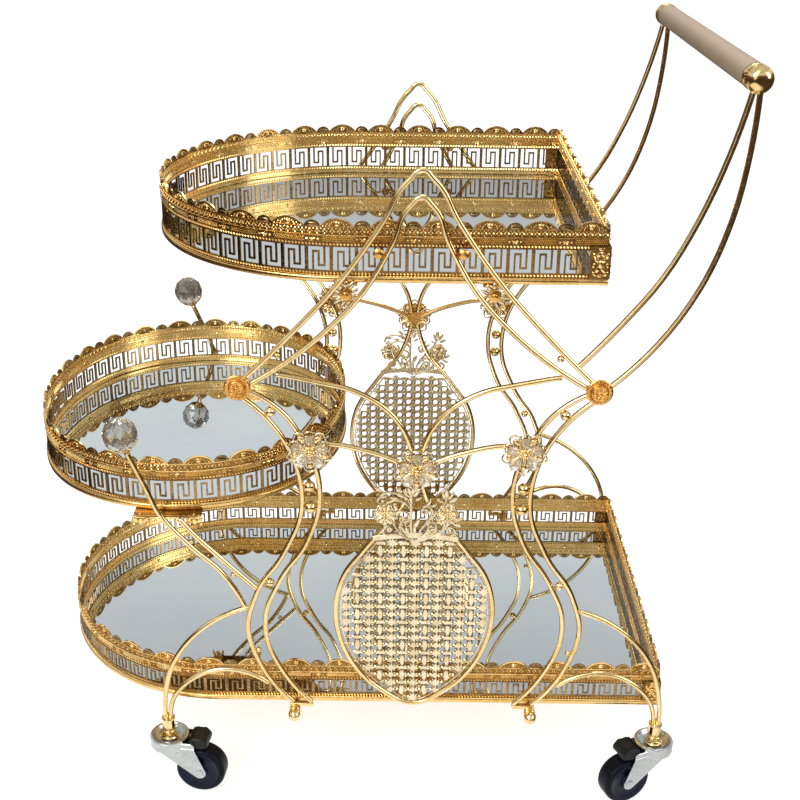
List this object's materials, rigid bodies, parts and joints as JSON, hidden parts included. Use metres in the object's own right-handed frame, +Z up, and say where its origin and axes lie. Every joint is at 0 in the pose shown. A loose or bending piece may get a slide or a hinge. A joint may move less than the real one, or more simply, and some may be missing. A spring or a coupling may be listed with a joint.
{
  "type": "serving trolley",
  "caption": "Three-tier serving trolley with pierced gold galleries, mirror trays, bent wire side frames, a push handle and braked swivel casters.",
  "frame": {"origin": "centre of the trolley's footprint on the floor, halfway between the ends of its bounding box", "axes": "+X toward the push handle, +Y to the far side of the picture, +Z up"},
  "size_m": [0.6626, 0.4506, 0.7295],
  "materials": {
    "polished_gold": "polished",
    "stamped_gold": "polished",
    "satin_champagne": "satin",
    "mirror": "polished",
    "crystal": "polished",
    "zinc_steel": "satin",
    "wheel_rubber": "satin",
    "black_plastic": "matte"
  },
  "bodies": {
    "cart": {"left_arch_wires": "polished_gold", "left_front_leg_wires": "polished_gold", "left_rear_leg_wires": "polished_gold", "left_handle_wires": "polished_gold", "left_butterfly_wires": "polished_gold", "left_caster_wires": "polished_gold", "left_support_wires": "polished_gold", "left_pineapple_ring": "polished_gold", "left_pineapple_lattice": "stamped_gold", "left_pineapple_crown": "stamped_gold", "right_arch_wires": "polished_gold", "right_front_leg_wires": "polished_gold", "right_rear_leg_wires": "polished_gold", "right_handle_wires": "polished_gold", "right_butterfly_wires": "polished_gold", "right_caster_wires": "polished_gold", "right_support_wires": "polished_gold", "right_pineapple_ring": "polished_gold", "right_pineapple_lattice": "stamped_gold", "right_pineapple_crown": "stamped_gold", "top_mirror": "mirror", "top_base": "polished_gold", "top_key_band": "stamped_gold", "top_gallery": "stamped_gold", "middle_mirror": "mirror", "middle_base": "polished_gold", "middle_key_band": "stamped_gold", "middle_gallery": "stamped_gold", "bottom_mirror": "mirror", "bottom_base": "polished_gold", "bottom_key_band": "stamped_gold", "bottom_gallery": "stamped_gold", "tray_corner_plates": "stamped_gold", "joint_knobs": "polished_gold", "spacer_balls": "polished_gold", "flowers": "stamped_gold", "flower_crystals": "crystal", "top_tray_brackets": "polished_gold", "top_tray_screws": "polished_gold", "middle_tray_straps": "polished_gold", "middle_tray_screws": "polished_gold", "foot_lugs": "polished_gold", "foot_screws": "polished_gold", "crystal_cups": "polished_gold", "crystal_balls": "crystal", "grip_tube": "satin_champagne", "grip_caps": "polished_gold", "caster_stems": "polished_gold"},
    "front_left_fork": {"front_left_fork": "zinc_steel"},
    "front_left_wheel": {"front_left_wheel": "wheel_rubber"},
    "front_left_brake": {"front_left_brake": "black_plastic"},
    "front_right_fork": {"front_right_fork": "zinc_steel"},
    "front_right_wheel": {"front_right_wheel": "wheel_rubber"},
    "front_right_brake": {"front_right_brake": "black_plastic"},
    "rear_left_fork": {"rear_left_fork": "zinc_steel"},
    "rear_left_wheel": {"rear_left_wheel": "wheel_rubber"},
    "rear_left_brake": {"rear_left_brake": "black_plastic"},
    "rear_right_fork": {"rear_right_fork": "zinc_steel"},
    "rear_right_wheel": {"rear_right_wheel": "wheel_rubber"},
    "rear_right_brake": {"rear_right_brake": "black_plastic"}
  },
  "joints": [
    {"name": "front_left_swivel", "type": "hinge", "parent": "cart", "child": "front_left_fork", "pos_m": [-0.19025, -0.195, 0.057], "axis": [0, 0, 1], "continuous": true},
    {"name": "front_left_roll", "type": "hinge", "parent": "front_left_fork", "child": "front_left_wheel", "pos_m": [-0.15849, -0.1989, 0.025], "axis": [0.1219, 0.9925, 0], "continuous": true},
    {"name": "front_left_brake_tilt", "type": "hinge", "parent": "front_left_fork", "child": "front_left_brake", "pos_m": [-0.16544, -0.19805, 0.057], "axis": [0.1219, 0.9925, 0], "range_deg": [0, 20]},
    {"name": "front_right_swivel", "type": "hinge", "parent": "cart", "child": "front_right_fork", "pos_m": [-0.19025, 0.195, 0.057], "axis": [0, 0, 1], "continuous": true},
    {"name": "front_right_roll", "type": "hinge", "parent": "front_right_fork", "child": "front_right_wheel", "pos_m": [-0.15849, 0.1989, 0.025], "axis": [-0.1219, 0.9925, 0], "continuous": true},
    {"name": "front_right_brake_tilt", "type": "hinge", "parent": "front_right_fork", "child": "front_right_brake", "pos_m": [-0.16544, 0.19805, 0.057], "axis": [-0.1219, 0.9925, 0], "range_deg": [0, 20]},
    {"name": "rear_left_swivel", "type": "hinge", "parent": "cart", "child": "rear_left_fork", "pos_m": [0.29775, -0.195, 0.057], "axis": [0, 0, 1], "continuous": true},
    {"name": "rear_left_roll", "type": "hinge", "parent": "rear_left_fork", "child": "rear_left_wheel", "pos_m": [0.26829, -0.2075, 0.025], "axis": [0.3907, -0.9205, 0], "continuous": true},
    {"name": "rear_left_brake_tilt", "type": "hinge", "parent": "rear_left_fork", "child": "rear_left_brake", "pos_m": [0.27474, -0.20477, 0.057], "axis": [0.3907, -0.9205, 0], "range_deg": [0, 20]},
    {"name": "rear_right_swivel", "type": "hinge", "parent": "cart", "child": "rear_right_fork", "pos_m": [0.29775, 0.195, 0.057], "axis": [0, 0, 1], "continuous": true},
    {"name": "rear_right_roll", "type": "hinge", "parent": "rear_right_fork", "child": "rear_right_wheel", "pos_m": [0.26829, 0.2075, 0.025], "axis": [-0.3907, -0.9205, 0], "continuous": true},
    {"name": "rear_right_brake_tilt", "type": "hinge", "parent": "rear_right_fork", "child": "rear_right_brake", "pos_m": [0.27474, 0.20477, 0.057], "axis": [-0.3907, -0.9205, 0], "range_deg": [0, 20]}
  ]
}
